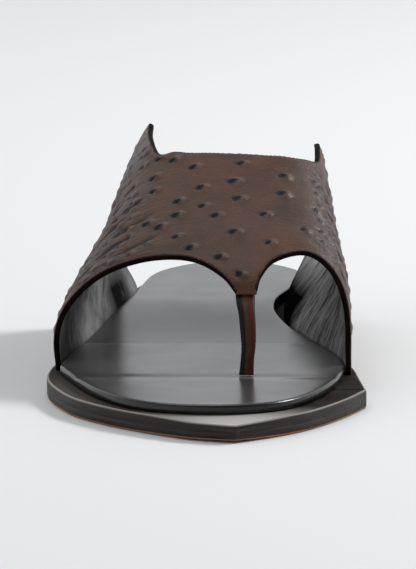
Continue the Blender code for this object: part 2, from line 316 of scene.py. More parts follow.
def last_side(name, side, girth, y):
    """One side of the strap's outer face, with girth from 0 at the crown to 1 at the foot."""
    along = y / LENGTH
    part = {column: smooth(LAST["along"], LAST[column], along) for column in LAST}
    foot_x, foot_z = strap_foot(side, y), outsole_top(y) + SEAT_GAP
    shoulder_x = BALL_WIDTH * part[name]
    shoulder_z = foot_z + INSTEP_HEIGHT * part[name + "_up"]
    crown_x = BALL_WIDTH * part["crown"]
    crown_z = foot_z + INSTEP_HEIGHT * part["crown_up"]
    arch = ARCH_WEIGHT * (np.abs(shoulder_x - crown_x) + crown_z - shoulder_z)
    split = arch / (arch + shoulder_z - foot_z)
    turn = np.minimum(girth / split, 1) * math.pi / 2
    power = 2 / part[name + "_full"]
    over_x = crown_x + (shoulder_x - crown_x) * np.sin(turn) ** power
    over_z = shoulder_z + (crown_z - shoulder_z) * np.maximum(np.cos(turn), 0) ** power
    down = np.clip((girth - split) / (1 - split), 0, 1)
    tuck_x = shoulder_x + (foot_x - shoulder_x) * ease(down)
    tuck_z = shoulder_z + (foot_z - shoulder_z) * down
    above = girth <= split
    return np.where(above, over_x, tuck_x), np.where(above, over_z, tuck_z)


def last_point(girth, y):
    """Point of the strap's outer face: a full arch above the shoulder, a soft tuck down to its foot."""
    girth, y = np.broadcast_arrays(np.asarray(girth, float), np.asarray(y, float))
    lateral = last_side("lateral", -1, np.abs(girth), y)
    medial = last_side("medial", 1, np.abs(girth), y)
    x, z = (np.where(girth < 0, a, b) for a, b in zip(lateral, medial))
    return np.stack([x, y, z], -1)


MIDDLE = BALL_WIDTH * (max(OUTSOLE_MEDIAL["edge"]) + min(OUTSOLE_LATERAL["edge"])) / 2


def in_frame(points):
    """From the tip of the toe to the middle of the sole's box, on the floor."""
    return np.asarray(points, float) - (MIDDLE, LENGTH / 2, 0)


# The strap's leather is measured along its own surface: reach is the way from the crown, in metres
CHART_STATIONS = np.linspace(LAST["along"][0], LAST["along"][-1], CHART_ROWS) * LENGTH
CHART_GIRTHS = np.sin(np.linspace(0, 1, CHART_COLUMNS) * math.pi / 2) ** CHART_CROWDING
# Least girth, which keeps a point of the crown on its own side of the foot
LEAST_GIRTH = 1e-9


def chart_side(sign):
    """Reach of each charted girth at each charted station."""
    points = last_point(sign * CHART_GIRTHS[None, :] + sign * LEAST_GIRTH, CHART_STATIONS[:, None])
    steps = np.linalg.norm(np.diff(points, axis=1), axis=-1)
    return np.concatenate([np.zeros((CHART_ROWS, 1)), np.cumsum(steps, axis=1)], axis=1)


CHART = {-1: chart_side(-1), 1: chart_side(1)}
SHARES = np.linspace(0, 1, SHARE_STEPS)


def girth_rows(sign):
    """Girth at each of the even shares of the way down, for each charted station."""
    return np.stack([np.interp(SHARES * row[-1], row, CHART_GIRTHS) for row in CHART[sign]])


GIRTHS = {-1: girth_rows(-1), 1: girth_rows(1)}
# Bounds that keep every place inside the last cell of the chart
LAST_CELL = CHART_ROWS - 1.001
LAST_SHARE = 0.99999


def side_reach(sign, y):
    """Way over the surface from the crown down to the foot."""
    return np.interp(y, CHART_STATIONS, CHART[sign][:, -1])


def girth_of(share, y):
    """Girth at a share of the way from the crown to the foot, with the little-toe side negative."""
    share, y = np.broadcast_arrays(share, y)
    row = np.clip(np.interp(y, CHART_STATIONS, np.arange(CHART_ROWS)), 0, LAST_CELL)
    column = np.clip(np.abs(share), 0, LAST_SHARE) * (SHARE_STEPS - 1)
    r, c = row.astype(int), column.astype(int)
    fr, fc = row - r, column - c
    found = np.zeros(share.shape)
    for sign in (-1, 1):
        grid = GIRTHS[sign]
        this = grid[r, c] * (1 - fc) + grid[r, c + 1] * fc
        after = grid[r + 1, c] * (1 - fc) + grid[r + 1, c + 1] * fc
        found = np.where(np.sign(share) == sign, sign * (this * (1 - fr) + after * fr), found)
    return np.where(np.abs(share) >= 1, np.sign(share), found)


def share_of(girth, y):
    """Share of the way from the crown to the foot at each girth."""
    found = []
    for g, station in zip(girth, y):
        sign = -1 if g < 0 else 1
        row = np.interp(station, CHART_STATIONS, np.arange(CHART_ROWS))
        k = min(int(row), CHART_ROWS - 2)
        reach = CHART[sign][k] * (1 - row + k) + CHART[sign][k + 1] * (row - k)
        found.append(sign * np.interp(abs(g), CHART_GIRTHS, reach) / reach[-1])
    return np.array(found)


def surface(share, y):
    return last_point(girth_of(share, y), y)


def rib_curve(column, corners, t):
    """A column of the ribs at rib number t, with corners at the ribs named."""
    stations = sorted(list(range(len(RIBS[column]))) + list(corners))
    return smooth(stations, [RIBS[column][k] for k in stations], t)


def strap_edges(t):
    """Share and station of the strap's front edge and back edge at rib numbers t."""
    edges = []
    for name, corners in (("front", TONGUE_RIBS), ("back", EAR_RIBS)):
        girth = np.clip(rib_curve(name + "_girth", corners, t), -1, 1)
        y = rib_curve(name + "_along", corners, t) * LENGTH
        edges.append((share_of(girth, y), y))
    return edges


def rib_numbers():
    """Rib numbers that fall on every rib and lie about one step apart on the leather."""
    numbers = [0.0]
    for k in range(len(RIBS["front_girth"]) - 1):
        t = np.linspace(k, k + 1, RIB_TRIALS)
        runs = [np.linalg.norm(np.diff(surface(*edge), axis=0), axis=1).sum() for edge in strap_edges(t)]
        steps = max(2, round(max(runs) / LEATHER_STEP * RIB_SPACING))
        numbers += list(np.linspace(k, k + 1, steps + 1)[1:])
    return np.array(numbers)


def strap_grid():
    """Share, station and place of each point of the leather, from rib to rib and front to back."""
    (front_share, front_y), (back_share, back_y) = strap_edges(rib_numbers())
    v = np.linspace(0, 1, LEATHER_ROWS + 1)
    share = front_share[:, None] + (back_share - front_share)[:, None] * v
    y = front_y[:, None] + (back_y - front_y)[:, None] * v
    return share, y, surface(share, y)


def unit(vectors):
    return vectors / np.linalg.norm(vectors, axis=-1, keepdims=True)


def outward_normal(points):
    """Unit normals of a grid of points, on the side that looks up."""
    along_i = np.gradient(points, axis=0)
    along_j = np.gradient(points, axis=1)
    normal = unit(np.cross(along_i, along_j))
    return normal * np.sign(normal[..., 2].sum())


def border(shape):
    """Columns and rows of the grid's border in order, once round."""
    columns, rows = shape
    loop = [(i, 0) for i in range(columns)] + [(columns - 1, j) for j in range(1, rows)]
    loop += [(i, rows - 1) for i in range(columns - 2, -1, -1)] + [(0, j) for j in range(rows - 2, 0, -1)]
    return tuple(np.array(loop).T)


def near(points, curve):
    """Distance of each point to the nearest of a curve's points."""
    flat = points.reshape(-1, 3)
    best = np.full(len(flat), np.inf)
    for k in range(0, len(curve), 16):
        gaps = flat[:, None, :] - curve[None, k:k + 16, :]
        best = np.minimum(best, (gaps ** 2).sum(-1).min(1))
    return np.sqrt(best).reshape(points.shape[:-1])


# Quill bumps near the crown, listed one by one: reach across from the crown and distance back, in mm
QUILLS = table(
    "across back",
    (-1, 76),
    (-7, 83),
    (-16, 89),
    (10, 91),
    (-36, 93),
    (-1, 97),
    (-20, 97),
    (23, 104),
    (-25, 106),
    (-6, 109),
    (10, 110),
    (-29, 111),
    (-19, 112),
    (-36, 113),
    (-10, 116),
    (-40, 120),
    (2, 120),
    (-18, 121),
    (17, 125),
    (-10, 128),
    (1, 131),
    (-26, 133),
    (18, 137),
    (-12, 142),
    (4, 143),
    (-26, 143),
    (-19, 150),
    (-24, 155),
    (-32, 166),
)
# Beyond these reaches, in mm, the quills stand in denser rows that run along the shoe
SIDE_FROM = {-1: 30, 1: 27}
QUILL_APART = 5.0
ROW_STEP = 5.0
QUILL_STEP = 6.8
# Rows on each side, how far a quill strays in shares of a step, and how strong the side ones are
QUILL_ROWS = 20
QUILL_JITTER = 0.26
SIDE_SHADE = 0.62
QUILL_SEED = 11
CHARTED_SIZES = (0.85, 1.25)
ROW_SIZES = (0.72, 1.05)
# A quill's bump and the pit beside it, in metres
QUILL_RADIUS = 0.0027
QUILL_HEIGHT = 0.00085
QUILL_PIT = 0.0009
PIT_RADIUS = 0.0011
PIT_SHADE_RADIUS = 0.0018
PIT_OFFSET = 0.0017
SHARE_NUDGE = 0.001
# Soft creases pressed into the strap, from one place to another, all in mm
CREASES = table(
    "across back to_across to_back depth width",
    (-24, 101, -43, 95, 0.5, 1.1),
    (-48, 100, -68, 96, 0.55, 1.2),
    (-31, 108, -52, 102, 0.6, 1.2),
    (-25, 117, -46, 111, 0.5, 1.1),
    (-50, 112, -74, 108, 0.6, 1.3),
    (-34, 124, -58, 117, 0.6, 1.2),
    (-28, 131, -50, 126, 0.55, 1.1),
    (-56, 127, -78, 123, 0.6, 1.3),
    (-36, 140, -62, 133, 0.6, 1.2),
    (-29, 148, -53, 143, 0.5, 1.1),
    (-58, 146, -80, 141, 0.55, 1.2),
    (-40, 157, -66, 151, 0.6, 1.2),
    (-36, 167, -58, 163, 0.5, 1.1),
    (-48, 178, -74, 172, 0.55, 1.2),
    (22, 99, 44, 91, 0.7, 1.1),
    (26, 110, 52, 101, 0.85, 1.2),
    (24, 122, 50, 113, 0.85, 1.2),
    (27, 133, 54, 124, 0.9, 1.2),
    (25, 143, 50, 136, 0.8, 1.1),
    (32, 154, 58, 147, 0.8, 1.2),
    (-14, 147, 12, 146, 0.16, 2.4),
)
CREASE_ENDS = 0.3


def quill_centres():
    """Reach, distance back and size of every quill, in mm: the charted ones, then the rows at the sides."""
    random = np.random.default_rng(QUILL_SEED)
    charted = zip(QUILLS["across"], QUILLS["back"])
    centres = [(x, y, random.uniform(*CHARTED_SIZES)) for x, y in charted]
    front = RIBS["front_along"][TONGUE_RIBS[0]] * LENGTH / MM
    back = RIBS["back_along"][-1] * LENGTH / MM
    for row in range(-QUILL_ROWS, QUILL_ROWS + 1):
        for k in range(int(back / QUILL_STEP)):
            reach = ROW_STEP * (row + QUILL_JITTER * random.uniform(-1, 1))
            y = QUILL_STEP * (k + 0.5 * (row % 2) + QUILL_JITTER * random.uniform(-1, 1))
            size = random.uniform(*ROW_SIZES)
            sign = -1 if reach < 0 else 1
            inside = abs(reach) < side_reach(sign, y * MM) / MM and front < y < back
            beside = abs(reach) > SIDE_FROM[sign] or y > QUILLS["back"][-1]
            clear = all(math.hypot(reach - x, y - far) > QUILL_APART for x, far, _ in centres)
            if inside and beside and clear:
                centres.append((reach, y, size))
    return centres


def quills(points):
    """Height that the quills add, how dark their pits make each place (dark dye with painted shade), and how
    much painted highlight each bump's top takes.
    """
    flat = points.reshape(-1, 3)
    height, dark, bump_highlight = (np.zeros(len(flat)) for _ in range(3))
    for reach, y, size in quill_centres():
        sign = -1 if reach < 0 else 1
        share = reach * MM / side_reach(sign, y * MM)
        here = surface(np.array([share, share + SHARE_NUDGE]), np.array([y, y]) * MM)
        centre, across = here[0], here[1] - here[0]
        across = across / np.linalg.norm(across)
        offset = flat - centre
        r2 = (offset ** 2).sum(-1)
        close = r2 < (2 * QUILL_RADIUS) ** 2
        offset = offset[close]
        radius = QUILL_RADIUS * size
        bump = np.maximum(1 - ((offset - across * PIT_OFFSET / 2) ** 2).sum(-1) / radius ** 2, 0) ** 2
        pit2 = ((offset + across * PIT_OFFSET / 2) ** 2).sum(-1)
        shade = 1 if abs(reach) < SIDE_FROM[sign] else SIDE_SHADE
        height[close] += shade * size * (QUILL_HEIGHT * bump - QUILL_PIT * np.exp(-pit2 / PIT_RADIUS ** 2))
        # Darkness of the pits: the quill tips' own dark dye, with painted shade in the pits
        dark[close] = np.maximum(dark[close], shade * np.exp(-pit2 / (size * PIT_SHADE_RADIUS) ** 2))
        # Share of the painted highlight on the top of the bump
        bump_highlight[close] = np.maximum(bump_highlight[close], bump)
    shape = points.shape[:-1]
    return height.reshape(shape), dark.reshape(shape), bump_highlight.reshape(shape)


def creases(share, y):
    """Depth of the listed creases at each place of the strap."""
    reach = share * np.where(share < 0, side_reach(-1, y), side_reach(1, y)) / MM
    back = y / MM
    depth = np.zeros(share.shape)
    for from_x, from_y, to_x, to_y, deep, width in zip(*CREASES.values()):
        run = np.array([to_x - from_x, to_y - from_y], float)
        t = ((reach - from_x) * run[0] + (back - from_y) * run[1]) / (run ** 2).sum()
        held = np.clip(t, 0, 1)
        away2 = (reach - from_x - held * run[0]) ** 2 + (back - from_y - held * run[1]) ** 2
        ends = ease(held / CREASE_ENDS) * ease((1 - held) / CREASE_ENDS)
        depth = np.maximum(depth, deep * MM * ends * np.exp(-away2 / width ** 2))
    return depth


def mesh_object(name, points, faces, materials, material_index=None, attributes=None):
    mesh = bpy.data.meshes.new(name)
    mesh.from_pydata(in_frame(points).tolist(), [], faces)
    for made in materials:
        mesh.materials.append(made)
    if material_index is not None:
        mesh.polygons.foreach_set("material_index", np.asarray(material_index, np.int32))
    for label, values in (attributes or {}).items():
        layer = mesh.attributes.new(label, "FLOAT", "POINT")
        layer.data.foreach_set("value", np.asarray(values, np.float32))
    mesh.polygons.foreach_set("use_smooth", np.ones(len(mesh.polygons), bool))
    mesh.update()
    made = bpy.data.objects.new(name, mesh)
    bpy.context.scene.collection.objects.link(made)
    return made


# How the strap's edge is rounded, turned in and left flat beside it, and thinned at the tongue
EDGE_BULGE = 0.0004
FOOT_BULGE = 0.00025
EDGE_FULLNESS = 0.7
EDGE_TURN_IN = 0.0003
EDGE_TURN_WIDTH = 0.0018
FLAT_MARGIN = 0.0008
MARGIN_FADE = 0.002
TONGUE_SKIVE = 0.0013
SKIVE_RUN = 0.006
# Materials of the strap, in the order in which it carries them
QUILL_FACE, PAINTED_EDGE, LINING = 0, 1, 2


def border_outward(base, normal, loop):
    """Unit directions that leave the leather at its border, level with its face."""
    columns, rows = base.shape[:2]
    rim_points = base[loop]
    tangent = np.roll(rim_points, -1, 0) - np.roll(rim_points, 1, 0)
    outward = unit(np.cross(tangent, normal[loop]))
    into = base[np.clip(loop[0], 2, columns - 3), np.clip(loop[1], 2, rows - 3)] - rim_points
    return outward * -np.sign((outward * into).sum(-1, keepdims=True))


def edge_rows(outer, inner, outward, loop):
    """Rows of points that round the painted edge, from the outer face to the lining."""
    foot = (loop[0] == 0) | (loop[0] == len(outer) - 1)
    bulge = np.where(foot, FOOT_BULGE, EDGE_BULGE)[:, None]
    rows = []
    for k in range(1, EDGE_STEPS):
        turn = math.pi * k / EDGE_STEPS
        across = (1 - math.cos(turn)) / 2
        out = math.sin(turn) ** EDGE_FULLNESS
        rows.append(outer[loop] * (1 - across) + inner[loop] * across + outward * bulge * out)
    return rows


def strap_faces(shape, loop, tip):
    """Faces of the outer side, the lining and the edge between them, and each face's material."""
    count = shape[0] * shape[1]
    index = np.arange(count).reshape(shape)
    corners = [index[:-1, :-1], index[1:, :-1], index[1:, 1:], index[:-1, 1:]]
    quads = np.stack(corners, -1).reshape(-1, 4)
    faces = quads.tolist() + (quads + count)[:, ::-1].tolist()
    zones = [QUILL_FACE] * len(quads) + [LINING] * len(quads)
    ring = index[loop]
    between = [np.arange(len(ring)) + 2 * count + k * len(ring) for k in range(EDGE_STEPS - 1)]
    rings = [ring, *between, ring + count]
    for a, b in zip(rings[:-1], rings[1:]):
        faces += np.stack([a, b, np.roll(b, -1), np.roll(a, -1)], -1).tolist()
        zones += np.where(tip[loop[0]] & (loop[1] == 0), QUILL_FACE, PAINTED_EDGE).tolist()
    return faces, zones


def build_strap(materials):
    """Outer face with its bumps, the painted edge round it, and the lining, as one closed leather."""
    share, y, base = strap_grid()
    normal = outward_normal(base)
    loop = border(share.shape)
    numbers = rib_numbers()
    tip = (numbers >= TONGUE_RIBS[0]) & (numbers <= TONGUE_RIBS[1])
    free = near(base, np.concatenate([base[~tip, 0], base[:, -1]])[::2])
    skive = TONGUE_SKIVE * np.maximum(1 - near(base, base[tip, 0]) / SKIVE_RUN, 0) ** 2
    turned = EDGE_TURN_IN * np.maximum(1 - free / EDGE_TURN_WIDTH, 0) ** 2
    height, dark, bump_highlight = quills(base)
    pressed = creases(share, y)
    fade = ease((free - FLAT_MARGIN) / MARGIN_FADE)
    outer = base + normal * ((height - pressed) * fade - turned - skive)[..., None]
    inner = base - normal * WALL
    rounded = edge_rows(outer, inner, border_outward(base, normal, loop), loop)
    points = np.concatenate([outer.reshape(-1, 3), inner.reshape(-1, 3), *rounded])
    rim_free = np.tile(free[loop], EDGE_STEPS - 1)
    inside, rim_blank = np.zeros(share.size), np.zeros(len(rim_free))
    # The pits' darkness is dark dye with painted shade, and the share on each bump's top is a painted
    # highlight
    attributes = {
        "pit": np.concatenate([(dark * fade).ravel(), inside, rim_blank]),
        "bump_highlight": np.concatenate([(bump_highlight * fade).ravel(), inside, rim_blank]),
        "edge": np.concatenate([free.ravel(), free.ravel(), rim_free]) / MM,
        "reach": np.concatenate([share.ravel(), share.ravel(), rim_blank]),
        "crease": np.concatenate([pressed.ravel(), inside, rim_blank]) / MM,
    }
    faces, zones = strap_faces(share.shape, loop, tip)
    return mesh_object("strap_leather", points, faces, materials, zones, attributes)


def outline(edge, stations, inset):
    """Plan of a sole layer, tip to heel on the big-toe side and back on the other, taken in by inset."""
    right = np.stack([edge(1, stations), stations], -1)
    left = np.stack([edge(-1, stations), stations], -1)[::-1]
    loop = np.concatenate([right, left])
    tangent = unit(np.roll(loop, -1, 0) - np.roll(loop, 1, 0))
    inward = np.stack([-tangent[:, 1], tangent[:, 0]], -1)
    return loop + inward * inset


def sole_cap(rim, face_z):
    """Points across a layer from one side to the other, on its bottom or its top."""
    half = len(rim) // 2
    right, left = rim[:half], rim[half:][::-1]
    across = np.linspace(0, 1, SOLE_COLUMNS + 1)[1:-1]
    inner = right[:, None, :] * (1 - across)[None, :, None] + left[:, None, :] * across[None, :, None]
    inner[..., 2] = face_z(inner[..., 1])
    return inner


def layer(name, edge, stations, profile, heights, materials, line=1.0):
    """Closed sole layer, with its second material above the line, a share of the way up."""
    bottom, top = heights
    n, count = len(stations), 2 * len(stations)
    points, faces, zones, level = [], [], [], []
    for inset, up in profile:
        loop = outline(edge, stations, inset)
        y = loop[:, 1]
        points.append(np.column_stack([loop, bottom(y) + (top(y) - bottom(y)) * up]))
        level.append(np.full(count, up))
    for row in range(len(profile) - 1):
        k = np.arange(count) + row * count
        step = np.roll(k, -1)
        faces += np.stack([k, step, step + count, k + count], -1).tolist()
        zones += [int(profile[row + 1][1] > line)] * count
    total = len(profile) * count
    for row, face_z, up, zone in ((0, bottom, 0.0, 0), (len(profile) - 1, top, 1.0, len(materials) - 1)):
        inner = sole_cap(points[row], face_z)
        added = inner.shape[0] * inner.shape[1]
        ids = np.concatenate([
            (np.arange(n) + row * count)[:, None],
            np.arange(added).reshape(inner.shape[:2]) + total,
            (count - 1 - np.arange(n) + row * count)[:, None],
        ], axis=1)
        points.append(inner.reshape(-1, 3))
        level.append(np.full(added, up))
        total += added
        quads = np.stack([ids[:-1, :-1], ids[:-1, 1:], ids[1:, 1:], ids[1:, :-1]], -1).reshape(-1, 4)
        faces += (quads[:, ::-1] if up else quads).tolist()
        zones += [zone] * len(quads)
    attributes = {"level": np.concatenate(level)}
    return mesh_object(name, np.concatenate(points), faces, materials, zones, attributes)


# A layer's stations stop short of its tip and its heel by these shares of a half turn
TIP_SHORT = 0.012
HEEL_SHORT = 0.004


def stations_between(front, back):
    """Closer together towards both ends."""
    turns = np.linspace(TIP_SHORT, 1 - HEEL_SHORT, SOLE_STATIONS) * math.pi
    return front + (back - front) * (1 - np.cos(turns)) / 2


def rounding(radius, thickness, steps=5):
    """Profile rows of a top rim rounded with this radius."""
    rows = []
    for k in range(steps + 1):
        turn = math.pi / 2 * k / steps
        rows.append((radius * (1 - math.cos(turn)), 1 - radius / thickness * (1 - math.sin(turn))))
    return rows


# Profiles of the layers, as rows of inset from the outline and share of the way up
OUTSOLE_LINE = 0.10
OUTSOLE_PROFILE = [(0.0006, 0.0), (0.0002, 0.03), (0.0001, OUTSOLE_LINE)]
OUTSOLE_PROFILE += [(0.0003, OUTSOLE_LINE + 0.015), (0.0, OUTSOLE_LINE + 0.05), (0.0, 0.46)]
OUTSOLE_PROFILE += [(0.00012, 0.48), (0.0, 0.5), (0.0, 0.8)]
INSOLE_PROFILE = [(0.0004, 0.0), (0.0, 0.12), (0.0, 0.4)]
HEEL_PROFILE = [(0.0006, 0.0), (0.0002, 0.06), (0.0, 0.2), (0.0, 0.48), (0.00015, 0.52), (0.0, 0.56)]
HEEL_PROFILE += [(0.0, 0.85), (0.0002, 1.0)]
OUTSOLE_ROUND = 0.0006
INSOLE_ROUND = 0.0011
TIP_DIP = 0.0013
TIP_DIP_ENDS = 0.015
TIP_DIP_POWER = 1.2


def dipped_top(y):
    """Top of the outsole, which thins a little towards the tip of the toe."""
    return outsole_top(y) - TIP_DIP * np.maximum(1 - y / TIP_DIP_ENDS, 0) ** TIP_DIP_POWER


def build_outsole(materials):
    stations = np.sort(np.append(stations_between(0.0, LENGTH), TOE_CORNER * LENGTH))
    profile = OUTSOLE_PROFILE + rounding(OUTSOLE_ROUND, OUTSOLE_THICKNESS)
    heights = (sole_rise, dipped_top)
    return layer("outsole_layers", outsole_edge, stations, profile, heights, materials, OUTSOLE_LINE)


TOE_CREASE_BACK = 0.0625
TOE_CREASE_DEPTH = 0.00032
TOE_CREASE_WIDTH = 0.0034
ARCH_FOLD_BACK = 0.121
ARCH_FOLD_SLOPE = 0.05
ARCH_FOLD_RUN = 0.012


def worn_footbed(y):
    """Footbed with a soft crease across the toes and the fold where the arch begins to rise."""
    past = np.maximum(y - ARCH_FOLD_BACK, 0)
    fold = ARCH_FOLD_SLOPE * past * np.exp(-past / ARCH_FOLD_RUN)
    crease = TOE_CREASE_DEPTH * np.exp(-((y - TOE_CREASE_BACK) / TOE_CREASE_WIDTH) ** 2)
    return footbed(y) + fold - crease


def build_footbed(materials):
    front = INSOLE_TOE["along"][0] * LENGTH
    stations = stations_between(front, LENGTH - HEEL_LEDGE)
    profile = INSOLE_PROFILE + rounding(INSOLE_ROUND, INSOLE_THICKNESS, steps=7)
    return layer("footbed_leather", insole_edge, stations, profile, (insole_bottom, worn_footbed), materials)


def build_heel(materials):
    breast = HEEL_BREAST * LENGTH
    turns = np.linspace(0, 1 - HEEL_SHORT, SOLE_STATIONS // 2) * math.pi / 2
    stations = breast + (LENGTH - breast) * np.sin(turns)
    heights = (lambda y: y * 0, lambda y: y * 0 + HEEL_HEIGHT - SEAT_GAP)
    return layer("heel_lift", outsole_edge, stations, HEEL_PROFILE, heights, materials)


# Bends of the toe post between the footbed and the tongue, as shares of its lean and of its rise
POST_BENDS = ((0.12, 0.38), (0.50, 0.74))
POST_TAPER = 0.4
POST_SQUARENESS = (0.55, 0.6)
SLOPE_STEP = 0.05


def post_path():
    """Front face of the toe post, seen from the side: up from the footbed, then under the tongue."""
    tip_y = RIBS["front_along"][TONGUE_RIBS[0]] * LENGTH
    tip, lap = last_point(0, tip_y), last_point(0, tip_y + TONGUE_LAP)
    slope = math.atan2(lap[2] - tip[2], lap[1] - tip[1])
    under = WALL + SEAT_GAP
    back, down = under * math.sin(slope), under * math.cos(slope)
    foot_y = tip_y - POST_LEAN
    foot_z = float(footbed(foot_y)) + SEAT_GAP
    rise = tip[2] - down - foot_z
    bends = [(foot_y + POST_LEAN * lean, foot_z + rise * up) for lean, up in POST_BENDS]
    ends = [(tip_y + back, tip[2] - down), (lap[1] + back, lap[2] - down)]
    return np.array([(foot_y, foot_z), *bends, *ends])


def signed_power(value, exponent):
    """A power that keeps the sign."""
    return np.sign(value) * np.abs(value) ** exponent


def build_post(materials):
    """Folded strip that rises from the footbed and laps behind the tongue of the strap."""
    path = post_path()
    knots = np.arange(len(path))
    tongue_y = path[-2][0]
    tongue_x = float(last_point(0, tongue_y)[0])
    turn = np.linspace(0, 2 * math.pi, POST_SIDES, endpoint=False)
    rings, edge = [], []
    for up in np.arange(POST_RINGS + 1) / POST_RINGS:
        t = up * knots[-1]
        (y, ahead_y, behind_y), (z, ahead_z, behind_z) = (
            smooth(knots, path[:, axis], (t, min(t + SLOPE_STEP, knots[-1]), max(t - SLOPE_STEP, 0)))
            for axis in (0, 1)
        )
        lean = math.atan2(ahead_y - behind_y, ahead_z - behind_z)
        middle = tongue_x + BALL_WIDTH * float(smooth(POST["up"], POST["across"], up))
        half = POST_WIDTH * float(smooth(POST["up"], POST["width"], up)) / 2
        thick = POST_THICKNESS * (1 - POST_TAPER * up)
        x = half * signed_power(np.cos(turn), POST_SQUARENESS[0])
        d = thick / 2 * (1 - signed_power(np.sin(turn), POST_SQUARENESS[1]))
        rings.append(np.stack([middle + x, y + d * math.cos(lean), z - d * math.sin(lean)], -1))
        edge.append(x / half)
    last = POST_RINGS * POST_SIDES
    faces = [tuple(range(POST_SIDES)), tuple(range(last + POST_SIDES - 1, last - 1, -1))]
    for here in range(0, last, POST_SIDES):
        there = here + POST_SIDES
        for k in range(POST_SIDES):
            after = (k + 1) % POST_SIDES
            faces.append((here + k, there + k, there + after, here + after))
    attributes = {"side": np.concatenate(edge)}
    return mesh_object("toe_post_strip", np.concatenate(rings), faces, materials, None, attributes)


class Graph:
    """A material's node graph, with short calls for the nodes that leather needs."""

    def __init__(self, name):
        self.material = bpy.data.materials.new(name)
        self.material.use_nodes = True
        self.nodes = self.material.node_tree.nodes
        self.links = self.material.node_tree.links
        self.shader = self.nodes["Principled BSDF"]
        self.place = self.nodes.new("ShaderNodeTexCoord").outputs["Object"]

    def put(self, socket, value):
        if hasattr(value, "is_output"):
            self.links.new(value, socket)
        else:
            socket.default_value = value

    def set(self, **values):
        for label, value in values.items():
            self.put(self.shader.inputs[label.replace("_", " ")], value)

    def node(self, kind, output, **values):
        made = self.nodes.new("ShaderNode" + kind)
        for label, value in values.items():
            self.put(made.inputs[label.replace("_", " ")], value)
        return made.outputs[output]

    def attribute(self, label):
        node = self.nodes.new("ShaderNodeAttribute")
        node.attribute_name = label
        return node.outputs["Fac"]

    def along(self, axis):
        return self.node("SeparateXYZ", axis, Vector=self.place)

    def stretch(self, scale, turn=(0, 0, 0)):
        return self.node("Mapping", "Vector", Vector=self.place, Scale=scale, Rotation=turn)

    def noise(self, scale, detail=3, rough=0.5, place=None, distortion=0):
        values = {"Vector": place or self.place, "Scale": scale, "Detail": detail}
        return self.node("TexNoise", "Fac", **values, Roughness=rough, Distortion=distortion)

    def cells(self, scale):
        return self.node("TexVoronoi", "Distance", Vector=self.place, Scale=scale)

    def span(self, value, low, high, to_low=0.0, to_high=1.0):
        limits = {"From Min": low, "From Max": high, "To Min": to_low, "To Max": to_high}
        return self.node("MapRange", "Result", Value=value, **limits)

    def math(self, kind, a, b=0.0):
        node = self.nodes.new("ShaderNodeMath")
        node.operation = kind
        self.put(node.inputs[0], a)
        self.put(node.inputs[1], b)
        return node.outputs["Value"]

    def times(self, a, b):
        return self.math("MULTIPLY", a, b)

    def mix(self, share, a, b):
        node = self.nodes.new("ShaderNodeMix")
        node.data_type = "RGBA"
        self.put(node.inputs["Factor"], share)
        self.put(node.inputs["A"], a if hasattr(a, "is_output") else (*a, 1))
        self.put(node.inputs["B"], b if hasattr(b, "is_output") else (*b, 1))
        return node.outputs["Result"]

    def bump(self, height, distance, strength=1.0, under=None):
        below = {} if under is None else {"Normal": under}
        return self.node("Bump", "Normal", Height=height, Distance=distance, Strength=strength, **below)


def from_toe(*backs):
    """Distances back from the tip of the toe, in the shared frame."""
    return [back - LENGTH / 2 for back in backs]


def quill_material():
    g = Graph("quill_leather")
    tone = g.noise(52, 5, 0.62)
    colour = g.mix(g.span(tone, 0.34, 0.66), (0.042, 0.0172, 0.0086), (0.090, 0.0385, 0.0192))
    grain = g.cells(1400)
    colour = g.mix(g.span(grain, 0.0, 0.35, 0.35, 0.0), colour, (0.022, 0.012, 0.009))
    streaks = g.noise(1.0, 4, 0.6, g.stretch((90, 560, 90), (0, 0, 0.15)))
    sides = g.span(g.math("ABSOLUTE", g.attribute("reach")), 0.22, 0.45)
    # Painted shade: the wrinkle lines on the strap's sides are darkened in colour
    wrinkle_shade = g.times(g.span(streaks, 0.42, 0.56, 0.9, 0.0), sides)
    colour = g.mix(wrinkle_shade, colour, (0.010, 0.006, 0.006))
    # Painted shade in the pressed creases, broken up by noise
    crease_shade = g.times(g.attribute("crease"), g.span(g.noise(160, 3), 0.3, 0.6, 0.5, 1.9))
    colour = g.mix(g.span(crease_shade, 0.15, 0.6, 0.0, 0.85), colour, (0.008, 0.005, 0.005))
    # Painted highlight on the tops of the quill bumps
    colour = g.mix(g.span(g.attribute("bump_highlight"), 0.2, 0.95, 0.0, 0.5), colour, (0.140, 0.100, 0.084))
    # Near black in the pits: the quills' dark dye, with painted shade
    colour = g.mix(g.span(g.attribute("pit"), 0.25, 0.65, 0.0, 0.97), colour, (0.006, 0.005, 0.007))
    wobble = g.noise(300, 2)
    edge = g.math("ADD", g.attribute("edge"), g.span(wobble, 0.3, 0.7, -0.2, 0.2))
    # Red-brown line just inside the black edge paint: a painted highlight along the edge
    colour = g.mix(g.span(edge, 1.0, 1.4, 1.0, 0.0), colour, (0.080, 0.028, 0.013))
    colour = g.mix(g.span(edge, 0.5, 0.8, 1.0, 0.0), colour, (0.006, 0.004, 0.004))
    normal = g.bump(grain, 0.00014, 0.6)
    normal = g.bump(g.times(streaks, g.math("ADD", sides, 0.15)), 0.0009, 0.6, normal)
    rough = g.math("MAXIMUM", g.span(tone, 0.3, 0.7, 0.36, 0.48), g.span(edge, 0.7, 1.2, 0.62, 0.0))
    rough = g.math("MAXIMUM", rough, g.span(g.attribute("pit"), 0.25, 0.65, 0.0, 0.75))
    g.set(Base_Color=colour, Roughness=rough, Specular_IOR_Level=0.26, Normal=normal)
    return g.material


